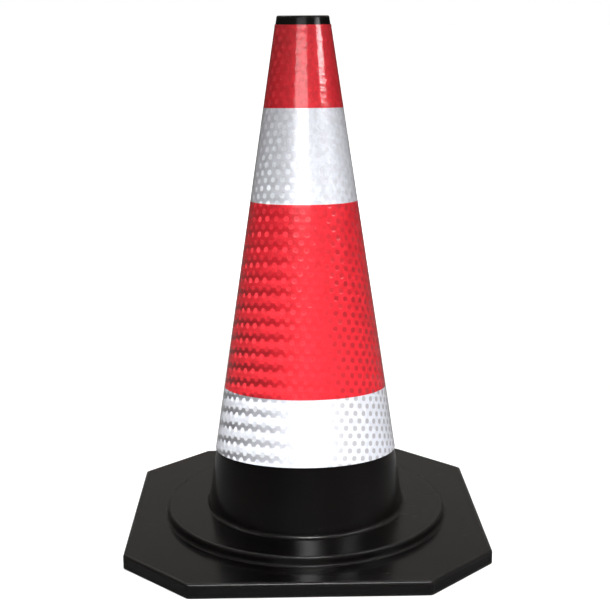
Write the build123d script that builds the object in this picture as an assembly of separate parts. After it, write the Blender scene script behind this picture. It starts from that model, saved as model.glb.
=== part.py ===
from build123d import *
import os
from math import atan, cos, sqrt, tan, radians

# A rubber traffic cone with an octagonal base and four bands of reflective film.
# Millimetres, +Z up, origin on the ground under the middle of the cone. The front is at -Y.

# ---- driving dimensions -------------------------------------------------------------

TOTAL_HEIGHT = 500.0

# octagonal slab: a square with its corners cut off, hollow underneath
BASE_WIDTH = 344.0
CORNER_CUT = 63.5          # along each side of the square
SLAB_HEIGHT = 14.0
SLAB_CORNER_RADIUS = 4.0
SLAB_TOP_RADIUS = 2.2
SLAB_BOTTOM_RADIUS = 1.2
SKIRT_THICKNESS = 6.0
PLATE_THICKNESS = 5.0

# round plinth on the slab, with a little draft
PLINTH_HEIGHT = 9.0
PLINTH_FOOT_RADIUS = 139.0
PLINTH_TOP_RADIUS = 138.2
PLINTH_EDGE_RADIUS = 1.6
PLINTH_FOOT_FILLET = 1.2
PLINTH_WALL = 6.0

# cone
CONE_FOOT_RADIUS = 97.7
CONE_TOP_RADIUS = 24.3
CONE_FOOT_FILLET = 2.5
CONE_TOP_FILLET = 1.8
CONE_INNER_FOOT_RADIUS = 91.5
COLLAR_WALL = 4.5          # thickness of the cone's wall just under the collar

# open collar at the top, for a lamp, a chain holder or a bar
SOCKET_RADIUS = 18.0
SOCKET_LENGTH = 12.0
SOCKET_EDGE_RADIUS = 1.0

# mouth underneath: a ring that stands on the ground, and a step up to the cone's wall
MOUTH_RADIUS = 97.0
MOUTH_DEPTH = 18.0
MOUTH_RING_WALL = 5.0
MOUTH_EDGE_RADIUS = 1.2

# ribs underneath, one to the middle of each side of the octagon
RIB_COUNT = 8
RIB_THICKNESS = 4.0
RIB_CLEARANCE = 1.5        # the ribs stop this far above the ground

# reflective film: a sheet wrapped round the cone, with its ends lapped at the back
FILM_THICKNESS = 0.6
FILM_TOP = 492.0
LAP_WIDTH = 12.0
# Each lower edge dips towards the lap: its height on the cone's axis, and its slope in degrees
UPPER_RED_EDGE = (415.6, 3.5)
UPPER_WHITE_EDGE = (327.8, 3.5)
LOWER_RED_EDGE = (144.0, 6.0)
LOWER_WHITE_EDGE = (80.2, 6.0)

# ---- worked out from them -----------------------------------------------------------

PLINTH_TOP = SLAB_HEIGHT + PLINTH_HEIGHT
TAPER = (CONE_FOOT_RADIUS - CONE_TOP_RADIUS) / (TOTAL_HEIGHT - PLINTH_TOP)
SOCKET_BOTTOM = TOTAL_HEIGHT - SOCKET_LENGTH
OVERCUT = 1.0              # how far a cutting solid runs past the face it opens


def cone_radius(z):
    """Radius of the cone's outside at height z."""
    return CONE_TOP_RADIUS + TAPER * (TOTAL_HEIGHT - z)


def octagon(inset):
    """The slab's outline, moved inwards by inset."""
    width = BASE_WIDTH - 2 * inset
    cut = CORNER_CUT - (2 - sqrt(2)) * inset
    return chamfer(Rectangle(width, width).vertices(), cut)


def turned(points, fillets):
    """A solid turned about Z from (radius, height) points, rounded at some of them."""
    face = make_face(Plane.XZ * Polyline(*points, close=True))
    for (radius, height), rounding in fillets:
        corner = face.vertices().sort_by_distance(Vector(radius, 0, height))[0]
        face = fillet(corner, rounding)
    return revolve(face, Axis.Z)


# ---- rubber body --------------------------------------------------------------------


def make_slab():
    outline = fillet(octagon(0).vertices(), SLAB_CORNER_RADIUS)
    slab = extrude(outline, SLAB_HEIGHT)
    slab = fillet(slab.faces().sort_by(Axis.Z)[-1].edges(), SLAB_TOP_RADIUS)
    return fillet(slab.faces().sort_by(Axis.Z)[0].edges(), SLAB_BOTTOM_RADIUS)


def make_plinth_and_cone():
    sunk = SLAB_HEIGHT - 2.0
    apron = PLINTH_FOOT_RADIUS + 4.0
    plinth_foot = (PLINTH_FOOT_RADIUS, SLAB_HEIGHT)
    plinth_edge = (PLINTH_TOP_RADIUS, PLINTH_TOP)
    cone_foot = (CONE_FOOT_RADIUS, PLINTH_TOP)
    cone_edge = (CONE_TOP_RADIUS, TOTAL_HEIGHT)
    points = [(0, sunk), (apron, sunk), (apron, SLAB_HEIGHT), plinth_foot, plinth_edge, cone_foot, cone_edge,
              (0, TOTAL_HEIGHT)]
    fillets = [(plinth_foot, PLINTH_FOOT_FILLET), (plinth_edge, PLINTH_EDGE_RADIUS),
               (cone_foot, CONE_FOOT_FILLET), (cone_edge, CONE_TOP_FILLET)]
    return turned(points, fillets)


def make_hollow():
    """The space inside the cone, from the mouth underneath to the open collar."""
    under_collar = cone_radius(SOCKET_BOTTOM) - COLLAR_WALL
    collar_slope = under_collar - SOCKET_RADIUS
    step = (CONE_INNER_FOOT_RADIUS, MOUTH_DEPTH)
    points = [(0, -OVERCUT), (MOUTH_RADIUS, -OVERCUT), (MOUTH_RADIUS, MOUTH_DEPTH), step,
              (under_collar, SOCKET_BOTTOM - collar_slope), (SOCKET_RADIUS, SOCKET_BOTTOM),
              (SOCKET_RADIUS, TOTAL_HEIGHT + OVERCUT), (0, TOTAL_HEIGHT + OVERCUT)]
    return turned(points, [(step, MOUTH_EDGE_RADIUS)])


def make_underside():
    """The hollow between the skirt, the plates above and the mouth ring, less the ribs."""
    under_slab = extrude(octagon(SKIRT_THICKNESS), SLAB_HEIGHT - PLATE_THICKNESS)
    under_plinth = extrude(Circle(PLINTH_FOOT_RADIUS - PLINTH_WALL), PLINTH_TOP - PLATE_THICKNESS)
    ring = extrude(Circle(MOUTH_RADIUS + MOUTH_RING_WALL), PLINTH_TOP)
    opened = under_slab + under_plinth - ring
    for index in range(RIB_COUNT):
        outwards = Rot(0, 0, index * 360 / RIB_COUNT)
        rib = Box(BASE_WIDTH, RIB_THICKNESS, PLINTH_TOP, align=(Align.MIN, Align.CENTER, Align.MIN))
        opened -= outwards * Pos(0, 0, RIB_CLEARANCE) * rib
    return opened


def circles_at(body, z):
    """The body's circular edges at height z."""
    return body.edges().filter_by(GeomType.CIRCLE).filter_by_position(Axis.Z, z - 0.01, z + 0.01)


def make_body():
    body = make_slab() + make_plinth_and_cone() - make_underside() - make_hollow()
    mouth_ring = [edge for edge in circles_at(body, 0) if edge.radius > MOUTH_RADIUS - 1]
    body = fillet(mouth_ring, MOUTH_EDGE_RADIUS)
    socket_edge = circles_at(body, TOTAL_HEIGHT).sort_by(SortBy.RADIUS)[0]
    return fillet(socket_edge, SOCKET_EDGE_RADIUS)


# ---- film ---------------------------------------------------------------------------


def film_layer(inner, outer, bottom):
    """A thin tapered tube that lies between two distances from the rubber."""
    slant = cos(atan(TAPER))
    near, far = inner / slant, outer / slant
    points = [(cone_radius(bottom) + near, bottom), (cone_radius(bottom) + far, bottom),
              (cone_radius(FILM_TOP) + far, FILM_TOP), (cone_radius(FILM_TOP) + near, FILM_TOP)]
    return turned(points, [])


def make_sleeve():
    """The whole wrapped sheet: one layer all round, and a second one at the lap."""
    bottom = PLINTH_TOP + 20
    lap = film_layer(FILM_THICKNESS, 2 * FILM_THICKNESS, bottom)
    lap &= Box(LAP_WIDTH, BASE_WIDTH, TOTAL_HEIGHT, align=(Align.CENTER, Align.MIN, Align.MIN))
    return film_layer(0, FILM_THICKNESS, bottom) + lap


def edge_plane(edge):
    """The plane of a film edge, which is higher at the front than at the back."""
    height, slope = edge
    return Plane(origin=(0, 0, height), x_dir=(1, 0, 0), z_dir=(0, tan(radians(slope)), 1))


def make_film(upper, lower):
    """The part of the sleeve between two edges; upper is None for the top band."""
    film = make_sleeve()
    if upper:
        film = split(film, edge_plane(upper), keep=Keep.BOTTOM)
    return split(film, edge_plane(lower), keep=Keep.TOP)


# ---- write the pieces ---------------------------------------------------------------

pieces = {
    "rubber_body": make_body(),
    "upper_red_film": make_film(None, UPPER_RED_EDGE),
    "upper_white_film": make_film(UPPER_RED_EDGE, UPPER_WHITE_EDGE),
    "lower_red_film": make_film(UPPER_WHITE_EDGE, LOWER_RED_EDGE),
    "lower_white_film": make_film(LOWER_RED_EDGE, LOWER_WHITE_EDGE),
}

os.makedirs("parts", exist_ok=True)
for name, piece in pieces.items():
    export_step(piece, f"parts/{name}.step")
    box = piece.bounding_box()
    print(name, f"volume {piece.volume / 1000:.1f} cm3, {box.min} to {box.max}")
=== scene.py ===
"""Looks of a rubber traffic cone with reflective film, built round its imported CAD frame.

Metres, +Z up, the origin on the ground under the cone's axis, the front at -Y.
The rubber body is the CAD's own mesh with a procedural material. Each band of film
is a new mesh: a flat sheet of embossed cells, cut out and rolled round the cone.

A point of the flat sheet is (u, v): the cone's tip is the origin, v runs down the front
of the cone and u to its right. A place in the pattern of dots is (p, q): along the rows
and across them. An edge is (height on the axis, slope in degrees).
"""

import math

import bmesh
import bpy
import numpy as np
from mathutils import Matrix, Vector


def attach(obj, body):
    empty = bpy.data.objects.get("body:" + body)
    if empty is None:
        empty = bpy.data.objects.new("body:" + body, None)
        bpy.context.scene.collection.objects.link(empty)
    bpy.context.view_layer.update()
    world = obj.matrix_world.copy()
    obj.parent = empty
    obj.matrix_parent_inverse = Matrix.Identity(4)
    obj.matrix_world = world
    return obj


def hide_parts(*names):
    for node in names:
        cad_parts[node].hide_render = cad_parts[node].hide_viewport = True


# The cone that the film is rolled round, as the CAD has it.
CONE_FOOT_RADIUS = 0.0977
CONE_FOOT_HEIGHT = 0.023
CONE_TOP_RADIUS = 0.0243
CONE_TOP_HEIGHT = 0.5
HALF_ANGLE = math.atan((CONE_FOOT_RADIUS - CONE_TOP_RADIUS) / (CONE_TOP_HEIGHT - CONE_FOOT_HEIGHT))
SIN_HALF = math.sin(HALF_ANGLE)
COS_HALF = math.cos(HALF_ANGLE)
APEX_HEIGHT = CONE_TOP_HEIGHT + CONE_TOP_RADIUS / math.tan(HALF_ANGLE)

# The film, with its ends lapped at the back. An edge is a tilted plane, higher at the front.
FILM_THICKNESS = 0.0006
LAP_WIDTH = 0.012
LAP_LIFT = 0.00065          # how far the upper end stands off the rubber
LAP_RAMP = 0.004            # over how wide a stretch it rises
ON_LINE = 1e-7              # how close a vertex is to a line that it was cut on
EDGE_TOP = (0.492, 0.0)
EDGE_UPPER_RED = (0.4156, 3.5)
EDGE_UPPER_WHITE = (0.3278, 3.5)
EDGE_LOWER_RED = (0.144, 6.0)
EDGE_LOWER_WHITE = (0.0802, 6.0)

# The embossed dots, in the flat sheet. Odd rows are shifted by half a pitch.
DOT_PITCH = 0.010
ROW_PITCH = 0.00715
DOT_HALF_WIDTH = 0.0029
DOT_HALF_HEIGHT = 0.0029
DOT_DEPTH = 0.00012
TOP_DOT_SHARE = 0.4         # of that depth, at the cone's top
FAINT_UNTIL = 0.20          # the values of v between which the depth grows
FULL_FROM = 0.40
DOT_SQUARENESS = 2.6        # 2 is an ellipse, more is squarer
WALL_RINGS = (1.0, 0.86, 0.72)
RING_VERTICES = 12
# The rows lie a little skew: turned down to the cone's right, and dipping towards its back.
ROW_TURN = math.radians(2.9)
ROW_DIP = math.radians(6.0)
PLACE_STEPS = 8             # each undoes nearly all that is left of the dip

# The prisms under the film lean sideways, as slopes: in stripes, and in the dots of each row.
BRIGHT_STRIPE_TILT = 0.60
DARK_STRIPE_TILT = -0.60
EVEN_DOT_TILT = 1.40
ODD_DOT_TILT = 0.30
DOT_LIFT = 0.30             # and those in the dots lean up too
PRISM_SCATTER = 0.05
PRISM_SCALE = 310.0
# Stripes, glints (the bright dots) and the painted shade of the dark dots grow down the sheet, from one value
# of q to another.
STRIPES_DOWN = (0.28, 0.50)
GLINTS_DOWN = (0.24, 0.40)
PAINTED_DOT_SHADE_DOWN = (0.26, 0.44)
# Across it, stripes and glints fade out near the front, where dark dots come in: painted shade that darkens
# the dots only towards the cone's right.
# The values are of p / q, counted from the front line, and grow to the cone's right.
STRIPES_ACROSS = (-0.08, -0.025)
GLINTS_ACROSS = (-0.15, -0.07)
PAINTED_DOT_SHADE_ACROSS = (0.01, 0.085)

# Colours: of the field between the dots, of a dark dot (partly the dots' own colour, partly painted shade),
# and of the dark grain.
RED = (0.84, 0.026, 0.042, 1.0)
RED_DOT = (0.50, 0.016, 0.024, 1.0)
RED_GRAIN = (0.50, 0.014, 0.020, 1.0)
WHITE = (0.81, 0.835, 0.91, 1.0)
WHITE_DOT = (0.46, 0.46, 0.49, 1.0)
WHITE_GRAIN = (0.56, 0.56, 0.61, 1.0)
BLACK_RUBBER = (0.0012, 0.0010, 0.0012, 1.0)
CLOUDED_RUBBER = (0.0034, 0.0028, 0.0024, 1.0)
# Paler edges: partly wear, partly a painted highlight along every sharp edge.
WORN_AND_HIGHLIT_EDGE_RUBBER = (0.009, 0.008, 0.0072, 1.0)
SCUFFED_RUBBER = (0.008, 0.0072, 0.0062, 1.0)
EDGE_MASK_RADIUS = 0.005

# The studio. The floor and the world are paler to the camera than to the light and the reflections.
WORLD_LIGHT = (1.0, 0.95, 0.88, 1.0)
WORLD_RISE = (0.10, 0.34)   # heights of a direction between which the world gets brighter
WORLD_STRENGTH = (0.035, 0.36)
PALE = (1.0, 1.0, 1.0, 1.0)
FLOOR_RADIUS = 40.0
FLOOR_TO_CAMERA = (0.86, 0.86, 0.87, 1.0)
FLOOR_TO_LIGHT = (0.14, 0.14, 0.14, 1.0)
FLOOR_GLOW_AT = (0.15, 1.4)  # distances from the cone's axis between which the floor's glow grows
FLOOR_GLOW = (0.12, 0.95)

# The camera, at the photograph's viewing angle.
CAMERA_DISTANCE = 1.1797
CAMERA_HEIGHT = 0.5039
CAMERA_SIDE = math.radians(1.09)
CAMERA_TURN = math.radians(1.11)
CAMERA_PITCH = math.radians(13.31)
CAMERA_ROLL = math.radians(-0.335)
CAMERA_LENS = 73.33


# ---------------------------------------------------------------- the flat sheet


def smooth_step(low, high, value):
    """0 below low, 1 above high, with a smooth change between."""
    t = np.clip((value - low) / (high - low), 0.0, 1.0)
    return t * t * (3.0 - 2.0 * t)


def back_distances(u, v):
    """How far a point of the flat sheet is past the cone's back line, at its right and at its left end."""
    half = math.pi * SIN_HALF
    right = u * math.cos(half) - v * math.sin(half)
    left = -u * math.cos(half) - v * math.sin(half)
    return right, left


def row_dip(u, v):
    """How far a row of dots has dipped at a point of the flat sheet, against the cone's front line."""
    turn = np.arctan2(u, v) / SIN_HALF
    radius = np.hypot(u, v) * SIN_HALF
    return radius * (1.0 - np.cos(turn)) * math.tan(ROW_DIP) / COS_HALF


def pattern_place(u, v):
    """A point of the flat sheet as a place in the pattern of dots: along the rows and across them."""
    level = v - row_dip(u, v)
    c, s = math.cos(ROW_TURN), math.sin(ROW_TURN)
    return u * c + level * s, level * c - u * s


def sheet_place(p, q):
    """The point of the flat sheet that has a place in the pattern."""
    c, s = math.cos(ROW_TURN), math.sin(ROW_TURN)
    u, level = p * c - q * s, q * c + p * s
    v = level
    for _ in range(PLACE_STEPS):
        v = level + row_dip(u, v)
    return u, v


def dot_amount(u, v):
    """1 on a dot's floor, 0 on the field between the dots."""
    p, q = pattern_place(u, v)
    row = np.round(q / ROW_PITCH)
    shift = np.where(np.mod(row, 2) == 1, 0.5, 0.0)
    column = np.round(p / DOT_PITCH - shift) + shift
    across = np.abs(p - column * DOT_PITCH) / DOT_HALF_WIDTH
    down = np.abs(q - row * ROW_PITCH) / DOT_HALF_HEIGHT
    reach = (across**DOT_SQUARENESS + down**DOT_SQUARENESS) ** (1.0 / DOT_SQUARENESS)
    amount = 1.0 - smooth_step(WALL_RINGS[-1], WALL_RINGS[0], reach)
    under_lap = smooth_step(-LAP_WIDTH / 2 - LAP_RAMP, -LAP_WIDTH / 2, back_distances(u, v)[1])
    return amount * (1.0 - under_lap)


def lap_lift(u, v):
    """How far the sheet's right end is raised where it lies on its left end."""
    start = -LAP_WIDTH / 2
    return LAP_LIFT * smooth_step(start - LAP_RAMP, start, back_distances(u, v)[0])


def dot_depth(v):
    """The dots are pressed less deeply towards the cone's top."""
    return DOT_DEPTH * (TOP_DOT_SHARE + (1.0 - TOP_DOT_SHARE) * smooth_step(FAINT_UNTIL, FULL_FROM, v))


def outer_height(u, v):
    """The film's outer surface above the rubber."""
    return FILM_THICKNESS + lap_lift(u, v) - dot_depth(v) * dot_amount(u, v)


def frame_on_cone(u, v):
    """The cone's outward, across and down directions at a point of the flat sheet, and its slant distance."""
    slant = np.hypot(u, v)
    turn = np.arctan2(u, v) / SIN_HALF
    outward = np.stack([COS_HALF * np.sin(turn), -COS_HALF * np.cos(turn), np.full_like(u, SIN_HALF)], 1)
    across = np.stack([np.cos(turn), np.sin(turn), np.zeros_like(u)], 1)
    down = np.stack([SIN_HALF * np.sin(turn), -SIN_HALF * np.cos(turn), np.full_like(u, -COS_HALF)], 1)
    return outward, across, down, slant


def rolled(u, v, height):
    """Points of the flat sheet rolled round the cone, at a height above the rubber."""
    outward, _, down, slant = frame_on_cone(u, v)
    apex = np.array([0.0, 0.0, APEX_HEIGHT])
    return apex + down * slant[:, None] + outward * np.asarray(height)[:, None]


def outer_normals(u, v):
    """The outer surface's normals, from the slope of its height over a small step."""
    step = 0.00002
    slope_u = (outer_height(u + step, v) - outer_height(u - step, v)) / (2 * step)
    slope_v = (outer_height(u, v + step) - outer_height(u, v - step)) / (2 * step)
    outward, across, down, _ = frame_on_cone(u, v)
    angle = np.arctan2(u, v)
    along = slope_u * np.sin(angle) + slope_v * np.cos(angle)
    sideways = slope_u * np.cos(angle) - slope_v * np.sin(angle)
    normals = outward - down * along[:, None] - across * sideways[:, None]
    return normals / np.linalg.norm(normals, axis=1)[:, None]


def cell_offsets():
    """One cell's vertices from its dot's centre: the brick's outline, the rings of the wall, the centre."""
    half_pitch, half_row = DOT_PITCH / 2, ROW_PITCH / 2
    quarter = [(half_pitch, 0), (half_pitch, half_row), (half_pitch / 2, half_row), (0, half_row)]
    left = [(-u, v) for u, v in reversed(quarter[:-1])]
    bottom = [(u, -v) for u, v in reversed((quarter + left)[1:-1])]
    rings = [quarter + left + bottom]
    angles = [2 * math.pi * k / len(rings[0]) for k in range(len(rings[0]))]
    for share in WALL_RINGS:
        ring = []
        for angle in angles:
            c, s = math.cos(angle), math.sin(angle)
            size = share / (abs(c) ** DOT_SQUARENESS + abs(s) ** DOT_SQUARENESS) ** (1 / DOT_SQUARENESS)
            ring.append((c * size * DOT_HALF_WIDTH, s * size * DOT_HALF_HEIGHT))
        rings.append(ring)
    return np.array([point for ring in rings for point in ring] + [(0.0, 0.0)])


def cell_faces(count):
    """One cell's faces, turned so that they face outward on the cone. A ring has count vertices."""
    faces = []
    for ring in range(len(WALL_RINGS)):
        for k in range(count):
            a, b = ring * count + k, ring * count + (k + 1) % count
            faces.append((b, a, a + count, b + count))
    inner, centre = len(WALL_RINGS) * count, (len(WALL_RINGS) + 1) * count
    faces += [(inner + (k + 1) % count, inner + k, centre) for k in range(count)]
    return faces


def cell_centres(slant_low, slant_high):
    """The centres, in the pattern, of the cells that cover a band of the flat sheet."""
    margin = 2 * DOT_PITCH
    # A band's ends come higher up the pattern than its middle, and reach further across it when turned.
    first_row = int((slant_low - margin) * 0.75 / ROW_PITCH)
    last_row = int((slant_high + margin) / ROW_PITCH)
    widest_angle = math.pi * SIN_HALF + 2 * ROW_TURN
    centres = []
    for row in range(first_row, last_row + 1):
        q = row * ROW_PITCH
        shift = 0.5 if row % 2 else 0.0
        reach = int((q * math.tan(widest_angle) + 2 * margin) / DOT_PITCH)
        for column in range(-reach, reach + 1):
            p = (column + shift) * DOT_PITCH
            u, v = sheet_place(p, q)
            if not slant_low - margin < math.hypot(u, v) < slant_high + margin:
                continue
            if max(back_distances(u, v)) < LAP_WIDTH / 2 + margin:
                centres.append((p, q))
    return centres


def sheet_of_cells(slant_low, slant_high):
    """The embossed cells that cover a band of the flat sheet, as a bmesh with shared outlines."""
    offsets = cell_offsets()
    faces = cell_faces(RING_VERTICES)
    bm = bmesh.new()
    shared = {}
    for p, q in cell_centres(slant_low, slant_high):
        made = []
        for number, (dp, dq) in enumerate(offsets):
            if number >= RING_VERTICES:
                made.append(bm.verts.new((p + dp, q + dq, 0.0)))
                continue
            key = (round((p + dp) / DOT_PITCH * 4), round((q + dq) / ROW_PITCH * 2))
            if key not in shared:
                shared[key] = bm.verts.new((p + dp, q + dq, 0.0))
            made.append(shared[key])
        for face in faces:
            bm.faces.new([made[k] for k in face])
    pattern = np.array([vertex.co[:2] for vertex in bm.verts])
    u, v = sheet_place(pattern[:, 0], pattern[:, 1])
    for vertex, new_u, new_v in zip(bm.verts, u, v):
        vertex.co = (new_u, new_v, 0.0)
    return bm


def cut(bm, keep):
    """Cuts the flat sheet where keep(u, v) changes sign and leaves the part where it is below zero."""
    flat = np.array([vertex.co[:2] for vertex in bm.verts])
    values = keep(flat[:, 0], flat[:, 1])
    for vertex, value in zip(bm.verts, values):
        vertex.co.z = value
    geometry = bm.verts[:] + bm.edges[:] + bm.faces[:]
    bmesh.ops.bisect_plane(bm, geom=geometry, dist=ON_LINE, plane_no=(0, 0, 1), clear_outer=True)
    for vertex in bm.verts:
        vertex.co.z = 0.0


def above_edge(edge):
    """A function of the flat sheet: how far the film's outer surface is above an edge's plane."""
    height, slope = edge
    tangent = math.tan(math.radians(slope))

    def value(u, v):
        points = rolled(u, v, np.full_like(u, FILM_THICKNESS))
        return points[:, 2] + points[:, 1] * tangent - height

    return value


def slant_of(height):
    """The distance from the cone's tip, down its side, to a height."""
    return (APEX_HEIGHT - height) / COS_HALF


def sheet_outline(u, v, rim, top, bottom):
    """The outline's vertices as four chains: the two cut edges by angle, the two ends by slant distance."""
    angle, slant = np.arctan2(u, v), np.hypot(u, v)
    right, left = back_distances(u, v)
    nearer_top = np.abs(above_edge(top)(u, v)) < np.abs(above_edge(bottom)(u, v))
    ends = []
    for past in (right, left):
        on_end = [k for k in rim if abs(past[k] - LAP_WIDTH / 2) < ON_LINE]
        ends.append(sorted(on_end, key=lambda k: slant[k]))
    inner_ends = {k for end in ends for k in end[1:-1]}
    edges = []
    for wanted in (True, False):
        on_edge = [k for k in rim if nearer_top[k] == wanted and k not in inner_ends]
        edges.append(sorted(on_edge, key=lambda k: angle[k]))
    return edges + ends


def zipped(upper, lower, order):
    """Triangles between two chains of vertices, each in rising order."""
    triangles = []
    i = j = 0
    while i < len(upper) - 1 or j < len(lower) - 1:
        take_upper = j == len(lower) - 1
        if i < len(upper) - 1 and j < len(lower) - 1:
            take_upper = order[upper[i + 1]] < order[lower[j + 1]]
        if take_upper:
            triangles.append((upper[i], upper[i + 1], lower[j]))
            i += 1
        else:
            triangles.append((upper[i], lower[j + 1], lower[j]))
            j += 1
    return triangles


def cut_sheet(top, bottom):
    """One band of the flat sheet: its vertices, its faces and its outline's vertices."""
    top_height, top_slope = top
    bottom_height, bottom_slope = bottom
    dip = CONE_FOOT_RADIUS * math.tan(math.radians(max(top_slope, bottom_slope)))
    bm = sheet_of_cells(slant_of(top_height + dip), slant_of(bottom_height - dip))
    above_top = above_edge(top)
    above_bottom = above_edge(bottom)
    cut(bm, above_top)
    cut(bm, lambda u, v: -above_bottom(u, v))
    cut(bm, lambda u, v: back_distances(u, v)[0] - LAP_WIDTH / 2)
    cut(bm, lambda u, v: back_distances(u, v)[1] - LAP_WIDTH / 2)
    bm.verts.index_update()
    flat = np.array([vertex.co[:2] for vertex in bm.verts])
    faces = [[vertex.index for vertex in face.verts] for face in bm.faces]
    rim = [vertex.index for vertex in bm.verts if vertex.is_boundary]
    bm.free()
    return flat, faces, rim


def closing_faces(flat, rim, top, bottom):
    """The thin walls and the inner side that make a shell of a band, and the vertices that they repeat."""
    u, v = flat[:, 0], flat[:, 1]
    top_chain, bottom_chain, right_chain, left_chain = sheet_outline(u, v, rim, top, bottom)
    inside = {k: len(flat) + n for n, k in enumerate(dict.fromkeys(top_chain + bottom_chain))}
    faces = [[a, b, inside[b], inside[a]] for a, b in zip(top_chain, top_chain[1:])]
    faces += [[b, a, inside[a], inside[b]] for a, b in zip(bottom_chain, bottom_chain[1:])]
    faces.append(right_chain + [inside[right_chain[-1]], inside[right_chain[0]]])
    faces.append(left_chain[::-1] + [inside[left_chain[0]], inside[left_chain[-1]]])
    faces += [[inside[k] for k in face] for face in zipped(top_chain, bottom_chain, np.arctan2(u, v))]
    return faces, list(inside)


def film_band(name, top, bottom):
    """One band of film as a closed shell between two tilted edges."""
    flat, outer_faces, rim = cut_sheet(top, bottom)
    other_faces, seat = closing_faces(flat, rim, top, bottom)
    u, v = flat[:, 0], flat[:, 1]
    outer = rolled(u, v, outer_height(u, v))
    inner = rolled(u[seat], v[seat], lap_lift(u[seat], v[seat]))
    points = np.concatenate([outer, inner])
    mesh = bpy.data.meshes.new(name)
    mesh.from_pydata(points.tolist(), [], outer_faces + other_faces)
    mesh.validate(verbose=False)
    set_normals(mesh, len(outer_faces), outer_normals(u, v))
    write_film_coordinates(mesh, flat, seat)
    piece = bpy.data.objects.new(name, mesh)
    bpy.context.collection.objects.link(piece)
    return piece


def set_normals(mesh, outer_count, outer):
    """The given normals on the outer faces, and flat ones on the thin walls and the inner side."""
    starts = np.empty(len(mesh.polygons), np.int32)
    mesh.polygons.foreach_get("loop_start", starts)
    sizes = np.empty(len(mesh.polygons), np.int32)
    mesh.polygons.foreach_get("loop_total", sizes)
    flat = np.empty(len(mesh.polygons) * 3)
    mesh.polygons.foreach_get("normal", flat)
    corners = np.empty(len(mesh.loops), np.int32)
    mesh.loops.foreach_get("vertex_index", corners)
    normals = np.repeat(flat.reshape(-1, 3), sizes, axis=0)
    outer_corners = int(starts[outer_count])
    normals[:outer_corners] = outer[corners[:outer_corners]]
    mesh.polygons.foreach_set("use_smooth", np.ones(len(mesh.polygons), bool))
    mesh.normals_split_custom_set(normals.tolist())


def write_film_coordinates(mesh, flat, seat):
    """Each vertex's place in the pattern, and how much of a dot it is, for the material."""
    u = np.concatenate([flat[:, 0], flat[seat, 0]])
    v = np.concatenate([flat[:, 1], flat[seat, 1]])
    p, q = pattern_place(u, v)
    place = mesh.attributes.new("film_place", "FLOAT_VECTOR", "POINT")
    place.data.foreach_set("vector", np.stack([p, q, np.zeros_like(p)], 1).ravel())
    dot = mesh.attributes.new("film_dot", "FLOAT", "POINT")
    dot.data.foreach_set("value", dot_amount(u, v))


# ---------------------------------------------------------------- materials


class Nodes:
    """A few short calls for building a material's node tree."""

    def __init__(self, name):
        self.material = bpy.data.materials.new(name)
        self.material.use_nodes = True
        self.tree = self.material.node_tree
        self.shader = self.tree.nodes["Principled BSDF"]

    def add(self, kind, **values):
        node = self.tree.nodes.new(kind)
        for key, value in values.items():
            setattr(node, key, value)
        return node

    def link(self, source, target):
        self.tree.links.new(source, target)

    def feed(self, socket, value):
        """Sets a socket to a number or links it to another node's output."""
        if isinstance(value, bpy.types.NodeSocket):
            self.link(value, socket)
        else:
            socket.default_value = value

    def math(self, operation, a, b=0.0):
        node = self.add("ShaderNodeMath", operation=operation)
        self.feed(node.inputs[0], a)
        self.feed(node.inputs[1], b)
        return node.outputs[0]

    def vector(self, operation, a, b=(0.0, 0.0, 0.0)):
        node = self.add("ShaderNodeVectorMath", operation=operation)
        self.feed(node.inputs[0], a)
        self.feed(node.inputs[1], b)
        return node.outputs[0]

    def scaled(self, vector, factor):
        node = self.add("ShaderNodeVectorMath", operation="SCALE")
        self.link(vector, node.inputs[0])
        self.feed(node.inputs["Scale"], factor)
        return node.outputs[0]

    def ramp(self, value, low, high, to_low=0.0, to_high=1.0):
        """A smooth change from to_low to to_high while value goes from low to high."""
        node = self.add("ShaderNodeMapRange", interpolation_type="SMOOTHSTEP")
        for socket, item in zip(node.inputs, (value, low, high, to_low, to_high)):
            self.feed(socket, item)
        return node.outputs[0]

    def mix(self, factor, a, b):
        """Colour a where factor is 0, and colour b where it is 1."""
        node = self.add("ShaderNodeMix", data_type="RGBA")
        self.feed(node.inputs[0], factor)
        self.feed(node.inputs[6], a)
        self.feed(node.inputs[7], b)
        return node.outputs[2]

    def noise(self, vector, scale, detail=2.0, roughness=0.5, distortion=0.0):
        node = self.add("ShaderNodeTexNoise")
        self.link(vector, node.inputs["Vector"])
        node.inputs["Scale"].default_value = scale
        node.inputs["Detail"].default_value = detail
        node.inputs["Roughness"].default_value = roughness
        node.inputs["Distortion"].default_value = distortion
        return node.outputs["Fac"]

    def cells(self, vector, scale):
        """Small cells that fill the surface, each with a colour of its own."""
        node = self.add("ShaderNodeTexVoronoi")
        self.link(vector, node.inputs["Vector"])
        node.inputs["Scale"].default_value = scale
        return node.outputs["Color"]

    def parts(self, vector):
        """The vector's X, Y and Z."""
        node = self.add("ShaderNodeSeparateXYZ")
        self.link(vector, node.inputs[0])
        return node.outputs

    def stretched(self, vector, x, y, z):
        node = self.add("ShaderNodeMapping")
        self.link(vector, node.inputs["Vector"])
        node.inputs["Scale"].default_value = (x, y, z)
        return node.outputs[0]

    def bump(self, height, strength, distance, normal=None):
        node = self.add("ShaderNodeBump")
        node.inputs["Strength"].default_value = strength
        node.inputs["Distance"].default_value = distance
        self.link(height, node.inputs["Height"])
        if normal is not None:
            self.link(normal, node.inputs["Normal"])
        return node.outputs[0]


def set_plain(shader, **values):
    """Values that are the same all over the surface, set on the shader's own sockets."""
    for name, value in values.items():
        shader.inputs[name.replace("_", " ")].default_value = value


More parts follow.
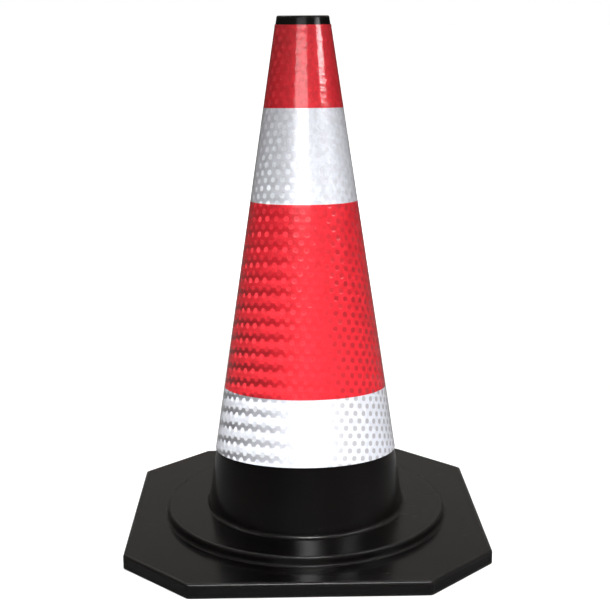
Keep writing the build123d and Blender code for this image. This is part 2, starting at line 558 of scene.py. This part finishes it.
def film_tilt(n, q, side, glint, is_dot):
    """How far the prisms under the film lean to the cone's right, as a slope.

    Stripes of prisms lean left and right in turn, and each row of dots lies where two stripes
    meet. The dots of every second row lean much further."""
    phase = n.math("MULTIPLY", q, math.pi / ROW_PITCH)
    stripe = n.ramp(n.math("SINE", phase), -0.35, 0.35, DARK_STRIPE_TILT, BRIGHT_STRIPE_TILT)
    stripe = n.math("MULTIPLY", stripe, n.ramp(q, *STRIPES_DOWN, 0.04, 1.0))
    stripe = n.math("MULTIPLY", stripe, n.ramp(side, *STRIPES_ACROSS, 1.0, 0.12))
    dot = n.ramp(n.math("COSINE", phase), -0.2, 0.2, ODD_DOT_TILT, EVEN_DOT_TILT)
    dot = n.math("MULTIPLY", dot, n.ramp(q, *GLINTS_DOWN, 0.06, 1.0))
    dot = n.math("MULTIPLY", dot, glint)
    field_part = n.math("MULTIPLY", stripe, n.math("SUBTRACT", 1.0, is_dot))
    return n.math("ADD", field_part, n.math("MULTIPLY", dot, is_dot))


def leaned_normal(n, tilt, lift, scatter):
    """The surface's normal, leaned round the cone by tilt, up by lift, and scattered from prism to prism."""
    x, y, _ = n.parts(n.add("ShaderNodeTexCoord").outputs["Object"])
    across = n.add("ShaderNodeCombineXYZ")
    n.link(n.math("MULTIPLY", y, -1.0), across.inputs[0])
    n.link(x, across.inputs[1])
    unit = n.vector("NORMALIZE", across.outputs[0])
    leaned = n.vector("ADD", n.add("ShaderNodeNewGeometry").outputs["Normal"], n.scaled(unit, tilt))
    up = n.add("ShaderNodeCombineXYZ")
    n.link(lift, up.inputs[2])
    leaned = n.vector("ADD", leaned, up.outputs[0])
    random = n.vector("SUBTRACT", scatter, (0.5, 0.5, 0.5))
    return n.vector("NORMALIZE", n.vector("ADD", leaned, n.scaled(random, PRISM_SCATTER)))


def film_colour(n, place, q, side, is_dot, speckle, colours):
    """The field's colour with dark grain and patches, and dark dots on the cone's right: the dots' own darker
    colour, laid on there as painted shade.
    """
    field, dot, dark = colours
    colour = n.mix(n.ramp(speckle, 0.0, 0.5, 0.60, 1.0), dark, field)
    # Painted shade: the dots take their dark colour only towards the cone's right and lower down the sheet.
    painted_dot_shade = n.math("MULTIPLY", is_dot, n.ramp(side, *PAINTED_DOT_SHADE_ACROSS, 0.10, 1.0))
    painted_dot_shade = n.math("MULTIPLY", painted_dot_shade, n.ramp(q, *PAINTED_DOT_SHADE_DOWN, 0.12, 1.0))
    colour = n.mix(painted_dot_shade, colour, dot)
    patch = n.noise(place, 38.0, 3.0)
    return n.mix(n.ramp(patch, 0.35, 0.75, 0.0, 0.10), colour, dark)


def film_material(name, colours):
    """Glossy reflective film: rows of tiny metallised prisms under clear plastic, with embossed dots."""
    n = Nodes(name)
    place = n.add("ShaderNodeAttribute", attribute_name="film_place").outputs["Vector"]
    is_dot = n.add("ShaderNodeAttribute", attribute_name="film_dot").outputs["Fac"]
    p, q, _ = n.parts(place)
    side = n.math("SUBTRACT", n.math("DIVIDE", p, q), math.tan(ROW_TURN))
    prisms = n.cells(n.stretched(place, 1.0, 0.8, 1.0), PRISM_SCALE)
    facet = n.add("ShaderNodeSeparateColor")
    n.link(prisms, facet.inputs[0])
    speckle = n.math("MULTIPLY", facet.outputs[0], n.noise(place, 1500.0, 2.0))
    colour = film_colour(n, place, q, side, is_dot, speckle, colours)
    n.link(colour, n.shader.inputs["Base Color"])
    n.link(n.ramp(speckle, 0.0, 0.7, 0.48, 0.44), n.shader.inputs["Roughness"])

    glint = n.ramp(side, *GLINTS_ACROSS, 1.0, 0.2)
    tilt = film_tilt(n, q, side, glint, is_dot)
    lift = n.math("MULTIPLY", n.math("MULTIPLY", is_dot, glint), DOT_LIFT)
    n.link(leaned_normal(n, tilt, lift, prisms), n.shader.inputs["Normal"])
    ripple = n.noise(n.stretched(place, 0.16, 1.0, 1.0), 170.0, 3.0)
    n.link(n.bump(ripple, 0.3, 0.0005), n.shader.inputs["Coat Normal"])
    set_plain(n.shader, Metallic=0.3, Specular_IOR_Level=0.2, Coat_Weight=1.0)
    set_plain(n.shader, Coat_Roughness=0.10, Coat_IOR=1.5)
    return n.material


def sharp_edge_mask(n):
    """1 near the rubber's sharp edges, 0 on its flat and gently curved faces."""
    bevel = n.add("ShaderNodeBevel", samples=4)
    bevel.inputs["Radius"].default_value = EDGE_MASK_RADIUS
    bend = n.add("ShaderNodeVectorMath", operation="DOT_PRODUCT")
    n.link(bevel.outputs[0], bend.inputs[0])
    n.link(n.add("ShaderNodeNewGeometry").outputs["Normal"], bend.inputs[1])
    return n.ramp(bend.outputs["Value"], 1.0, 0.9)


def rubber_material(name):
    """Black moulded rubber: semi-gloss, faintly clouded and scuffed, with paler edges, partly wear and partly
    a painted highlight.
    """
    n = Nodes(name)
    place = n.add("ShaderNodeTexCoord").outputs["Object"]
    cloud = n.noise(place, 14.0, 4.0, 0.6)
    grain = n.noise(place, 900.0, 3.0, 0.6)
    scuff = n.noise(n.stretched(place, 1.0, 7.0, 7.0), 55.0, 5.0, 0.65, 0.6)
    worn = n.ramp(scuff, 0.60, 0.78)
    edge = sharp_edge_mask(n)
    colour = n.mix(n.ramp(cloud, 0.35, 0.75, 0.0, 0.6), BLACK_RUBBER, CLOUDED_RUBBER)
    # Painted highlight, partly wear: every sharp edge is made paler.
    colour = n.mix(n.math("MULTIPLY", edge, 0.45), colour, WORN_AND_HIGHLIT_EDGE_RUBBER)
    colour = n.mix(n.math("MULTIPLY", worn, 0.35), colour, SCUFFED_RUBBER)
    n.link(colour, n.shader.inputs["Base Color"])
    rough = n.math("ADD", n.ramp(cloud, 0.3, 0.8, 0.17, 0.26), n.math("MULTIPLY", worn, 0.10))
    rough = n.math("ADD", rough, n.math("MULTIPLY", edge, 0.45))
    n.link(rough, n.shader.inputs["Roughness"])
    fine = n.bump(grain, 0.06, 0.0001)
    wave = n.bump(cloud, 0.25, 0.0016, fine)
    n.link(wave, n.shader.inputs["Normal"])
    set_plain(n.shader, Specular_IOR_Level=0.25)
    return n.material


# ---------------------------------------------------------------- camera, light and floor


def add_camera():
    """The camera, in front and a little to one side, looking down at the cone."""
    data = bpy.data.cameras.new("camera")
    data.sensor_width = 36.0
    data.lens = CAMERA_LENS
    camera = bpy.data.objects.new("camera", data)
    place = Vector((0.0, -CAMERA_DISTANCE, CAMERA_HEIGHT))
    turn = Matrix.Rotation(-CAMERA_TURN, 4, "Z")
    tilt = Matrix.Rotation(math.pi / 2 - CAMERA_PITCH, 4, "X")
    roll = Matrix.Rotation(CAMERA_ROLL, 4, "Z")
    moved = Matrix.Translation(Matrix.Rotation(-CAMERA_SIDE, 4, "Z") @ place)
    camera.matrix_world = moved @ turn @ tilt @ roll
    bpy.context.collection.objects.link(camera)
    bpy.context.scene.camera = camera


def add_light(name, azimuth, elevation, distance, width, height, power, aim=0.25, spread=180):
    """A soft rectangular light, aimed at a height on the cone. Azimuth 0 is in front and 90 to the right."""
    data = bpy.data.lights.new(name, "AREA")
    data.shape = "RECTANGLE"
    data.size = width
    data.size_y = height
    data.energy = power
    data.spread = math.radians(spread)
    light = bpy.data.objects.new(name, data)
    a, e = math.radians(azimuth), math.radians(elevation)
    away = Vector((math.sin(a) * math.cos(e), -math.cos(a) * math.cos(e), math.sin(e)))
    light.location = Vector((0.0, 0.0, aim)) + away * distance
    light.rotation_euler = away.to_track_quat("Z", "Y").to_euler()
    light.visible_camera = False
    bpy.context.collection.objects.link(light)


def add_world():
    """A pale surrounding for the camera, and a dimmer one, brighter overhead, for light and reflections."""
    world = bpy.data.worlds.new("studio")
    world.use_nodes = True
    bpy.context.scene.world = world
    tree = world.node_tree
    tree.nodes.clear()
    place = tree.nodes.new("ShaderNodeTexCoord")
    split = tree.nodes.new("ShaderNodeSeparateXYZ")
    tree.links.new(place.outputs["Generated"], split.inputs[0])
    rise = tree.nodes.new("ShaderNodeMapRange")
    rise.interpolation_type = "SMOOTHSTEP"
    for socket, value in zip(rise.inputs[1:5], WORLD_RISE + WORLD_STRENGTH):
        socket.default_value = value
    tree.links.new(split.outputs[2], rise.inputs[0])
    dim = tree.nodes.new("ShaderNodeBackground")
    dim.inputs["Color"].default_value = WORLD_LIGHT
    tree.links.new(rise.outputs[0], dim.inputs["Strength"])
    pale = tree.nodes.new("ShaderNodeBackground")
    pale.inputs["Color"].default_value = PALE
    path = tree.nodes.new("ShaderNodeLightPath")
    mix = tree.nodes.new("ShaderNodeMixShader")
    tree.links.new(path.outputs["Is Camera Ray"], mix.inputs[0])
    tree.links.new(dim.outputs[0], mix.inputs[1])
    tree.links.new(pale.outputs[0], mix.inputs[2])
    out = tree.nodes.new("ShaderNodeOutputWorld")
    tree.links.new(mix.outputs[0], out.inputs[0])


def add_floor():
    """A plain pale floor that glows a little away from the cone, so that it stays even to the horizon."""
    bm = bmesh.new()
    bmesh.ops.create_circle(bm, cap_ends=True, segments=96, radius=FLOOR_RADIUS)
    mesh = bpy.data.meshes.new("floor")
    bm.to_mesh(mesh)
    bm.free()
    floor = bpy.data.objects.new("floor", mesh)
    bpy.context.collection.objects.link(floor)
    n = Nodes("floor")
    place = n.add("ShaderNodeTexCoord").outputs["Object"]
    length = n.add("ShaderNodeVectorMath", operation="LENGTH")
    n.link(place, length.inputs[0])
    glow = n.ramp(length.outputs["Value"], *FLOOR_GLOW_AT, *FLOOR_GLOW)
    seen = n.add("ShaderNodeLightPath").outputs["Is Camera Ray"]
    n.link(n.mix(seen, FLOOR_TO_LIGHT, FLOOR_TO_CAMERA), n.shader.inputs["Base Color"])
    n.link(n.math("MULTIPLY", glow, seen), n.shader.inputs["Emission Strength"])
    set_plain(n.shader, Roughness=0.6, Emission_Color=PALE)
    mesh.materials.append(n.material)


def add_lights():
    """Two narrow keys for the foot, two boxes for the streaks on the cone, and soft fills all round."""
    add_light("key", 3.0, 44.0, 1.5, 0.7, 0.4, 1.35, aim=0.03, spread=24)
    add_light("right_key", 58.0, 42.0, 1.6, 0.7, 0.4, 0.35, aim=0.05, spread=24)
    add_light("front_box", -7.0, 16.6, 2.6, 1.7, 0.50, 13.2)
    add_light("right_box", 64.0, 18.0, 2.4, 0.9, 0.18, 8.5)
    add_light("right_fill", 95.0, 48.0, 2.2, 1.2, 1.0, 4.0)
    add_light("top_box", 0.0, 82.0, 1.9, 2.2, 2.2, 2.0)
    add_light("back_fill", 190.0, 52.0, 2.4, 1.8, 1.0, 16.0)
    add_light("left_fill", -115.0, 50.0, 2.4, 1.2, 1.0, 2.6)


# ---------------------------------------------------------------- the scene

BANDS = (
    ("upper_red_film", EDGE_TOP, EDGE_UPPER_RED, "red_film"),
    ("upper_white_film", EDGE_UPPER_RED, EDGE_UPPER_WHITE, "white_film"),
    ("lower_red_film", EDGE_UPPER_WHITE, EDGE_LOWER_RED, "red_film"),
    ("lower_white_film", EDGE_LOWER_RED, EDGE_LOWER_WHITE, "white_film"),
)

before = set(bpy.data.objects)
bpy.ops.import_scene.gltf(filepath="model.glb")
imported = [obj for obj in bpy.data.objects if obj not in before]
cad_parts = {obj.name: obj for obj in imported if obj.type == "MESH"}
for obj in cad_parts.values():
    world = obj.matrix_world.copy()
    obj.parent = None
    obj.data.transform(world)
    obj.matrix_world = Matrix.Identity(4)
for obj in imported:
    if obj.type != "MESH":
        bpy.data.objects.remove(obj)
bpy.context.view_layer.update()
bpy.context.scene.view_settings.view_transform = "Standard"
add_camera()
add_world()
add_floor()
add_lights()

film_looks = {
    "red_film": film_material("red_film_look", (RED, RED_DOT, RED_GRAIN)),
    "white_film": film_material("white_film_look", (WHITE, WHITE_DOT, WHITE_GRAIN)),
}
for node, top, bottom, slot in BANDS:
    band = film_band(node.replace("film", "sheet"), top, bottom)
    band.data.materials.append(film_looks[slot])
    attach(band, "root")
    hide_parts(node)

rubber = rubber_material("black_rubber_look")
for material_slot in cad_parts["rubber_body"].material_slots:
    material_slot.material = rubber
